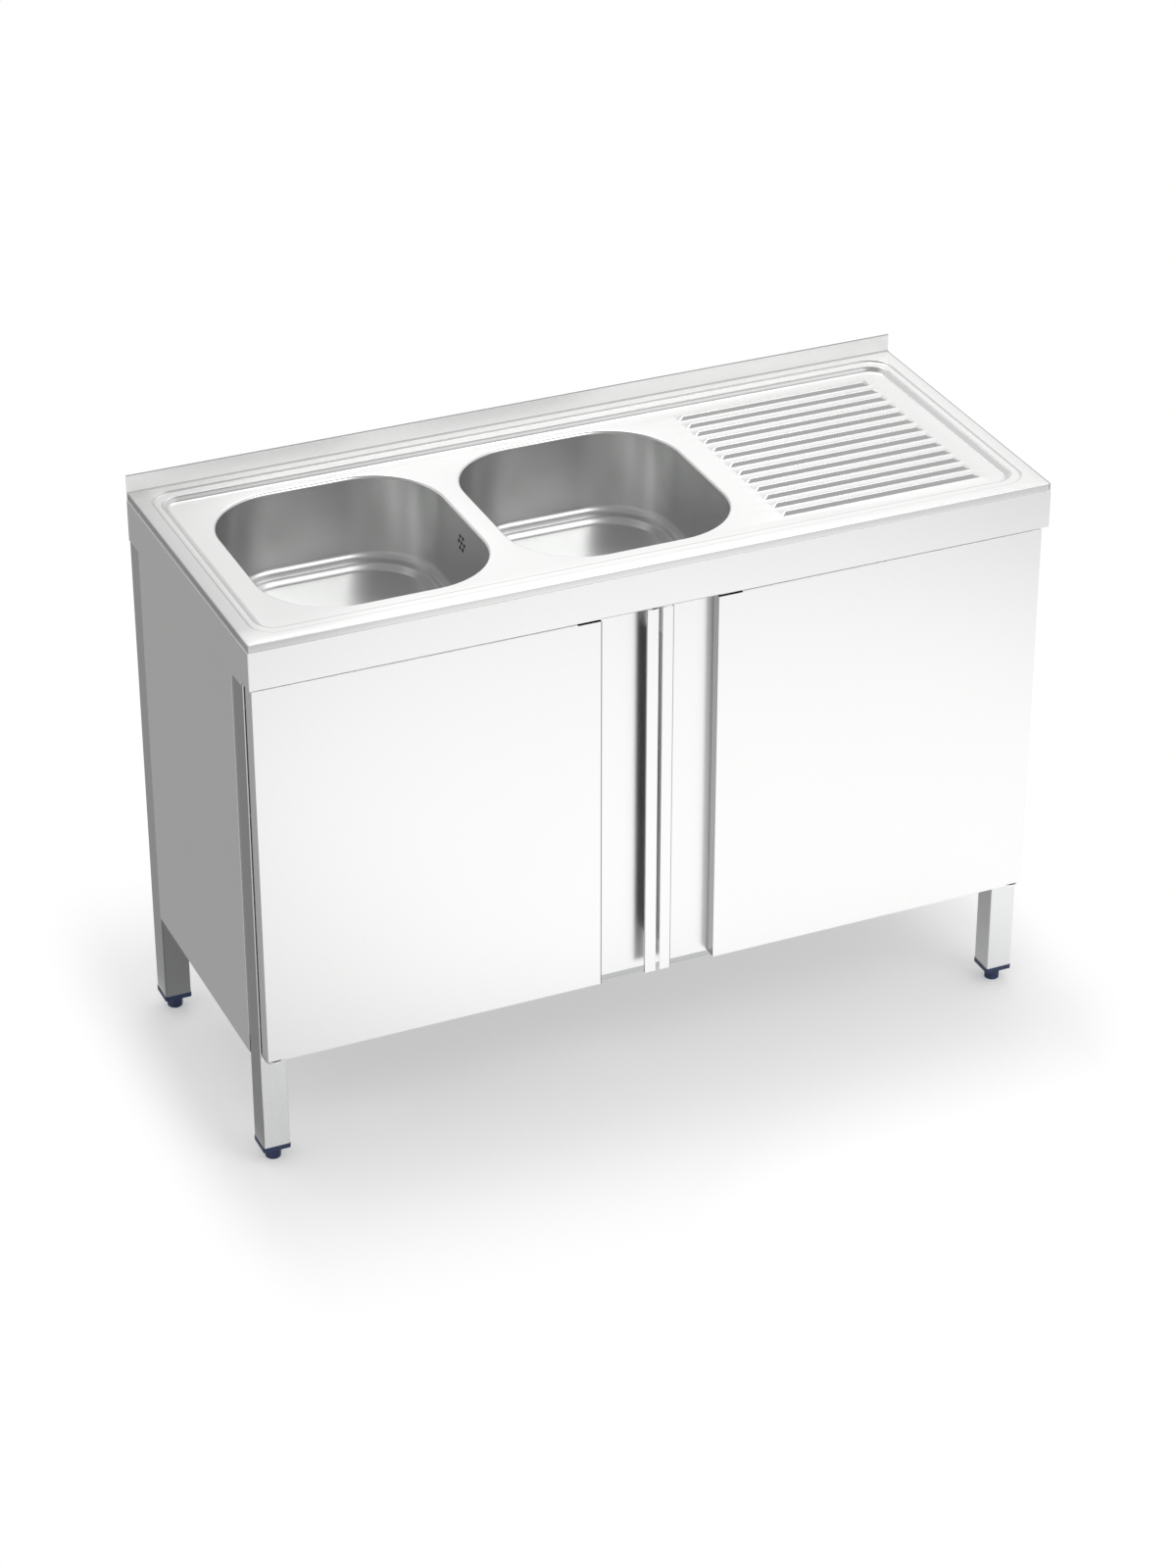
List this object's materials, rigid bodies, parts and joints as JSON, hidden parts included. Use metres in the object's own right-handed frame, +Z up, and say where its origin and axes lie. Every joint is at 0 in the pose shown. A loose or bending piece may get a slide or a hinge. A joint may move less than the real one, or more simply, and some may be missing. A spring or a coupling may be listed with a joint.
{
  "type": "sink unit",
  "caption": "Stainless steel sink unit: pressed worktop with bowls, ribbed drainer and upstand, square-tube frame, panels, pivot-hung doors with finger recesses, and screw feet.",
  "frame": {"origin": "on the floor, under the middle of the worktop", "axes": "+X runs along the front from the bowls to the drainer, +Y goes from the doors to the upstand, +Z is up"},
  "size_m": [1.202, 0.5, 0.876],
  "materials": {
    "stainless_steel": "brushed",
    "plain_steel": "mill",
    "navy_plastic": "matte",
    "black_rubber": "matte",
    "white_plastic": "matte"
  },
  "bodies": {
    "unit": {"worktop": "stainless_steel", "bowl_left": "stainless_steel", "bowl_right": "stainless_steel", "drainer_stiffener": "plain_steel", "sound_pads": "black_rubber", "front_apron": "stainless_steel", "side_panel_left": "stainless_steel", "side_panel_right": "stainless_steel", "back_panel": "stainless_steel", "bottom_shelf": "stainless_steel", "leg_front_left": "stainless_steel", "leg_front_right": "stainless_steel", "leg_rear_left": "stainless_steel", "leg_rear_right": "stainless_steel", "top_rails": "plain_steel", "lower_rails": "plain_steel", "catch_bracket": "stainless_steel", "leg_inserts": "navy_plastic", "pivot_brackets": "stainless_steel", "pivot_pins": "plain_steel", "magnet_catches": "white_plastic", "waste_left": "white_plastic", "waste_right": "white_plastic", "waste_gaskets": "black_rubber", "waste_nuts": "white_plastic", "overflow_housing": "white_plastic", "overflow_gaskets": "black_rubber", "overflow_pipe": "white_plastic", "worktop_screws": "stainless_steel", "side_panel_screws": "stainless_steel", "back_panel_screws": "stainless_steel", "shelf_screws": "stainless_steel"},
    "door_left": {"door_skin_left": "stainless_steel", "door_back_left": "plain_steel", "door_bushes_left": "white_plastic", "door_rivets_left": "stainless_steel", "strike_plate_left": "stainless_steel"},
    "door_right": {"door_skin_right": "stainless_steel", "door_back_right": "plain_steel", "door_bushes_right": "white_plastic", "door_rivets_right": "stainless_steel", "strike_plate_right": "stainless_steel"},
    "foot_front_left": {"foot_front_left": "navy_plastic"},
    "foot_front_right": {"foot_front_right": "navy_plastic"},
    "foot_rear_left": {"foot_rear_left": "navy_plastic"},
    "foot_rear_right": {"foot_rear_right": "navy_plastic"},
    "basket_left": {"basket_left": "stainless_steel"},
    "basket_right": {"basket_right": "stainless_steel"}
  },
  "joints": [
    {"name": "door_left_hinge", "type": "hinge", "parent": "unit", "child": "door_left", "pos_m": [-0.586, -0.237, 0.4855], "axis": [0, 0, -1], "range_deg": [0, 120]},
    {"name": "door_right_hinge", "type": "hinge", "parent": "unit", "child": "door_right", "pos_m": [0.578, -0.237, 0.4855], "axis": [0, 0, 1], "range_deg": [0, 120]},
    {"name": "foot_front_left_screw", "type": "slide", "parent": "unit", "child": "foot_front_left", "axis": [0, 0, -1], "range_m": [0, 0.025]},
    {"name": "foot_front_right_screw", "type": "slide", "parent": "unit", "child": "foot_front_right", "axis": [0, 0, -1], "range_m": [0, 0.025]},
    {"name": "foot_rear_left_screw", "type": "slide", "parent": "unit", "child": "foot_rear_left", "axis": [0, 0, -1], "range_m": [0, 0.025]},
    {"name": "foot_rear_right_screw", "type": "slide", "parent": "unit", "child": "foot_rear_right", "axis": [0, 0, -1], "range_m": [0, 0.025]},
    {"name": "basket_left_lift", "type": "slide", "parent": "unit", "child": "basket_left", "axis": [0, 0, 1], "range_m": [0, 0.21]},
    {"name": "basket_right_lift", "type": "slide", "parent": "unit", "child": "basket_right", "axis": [0, 0, 1], "range_m": [0, 0.21]}
  ]
}
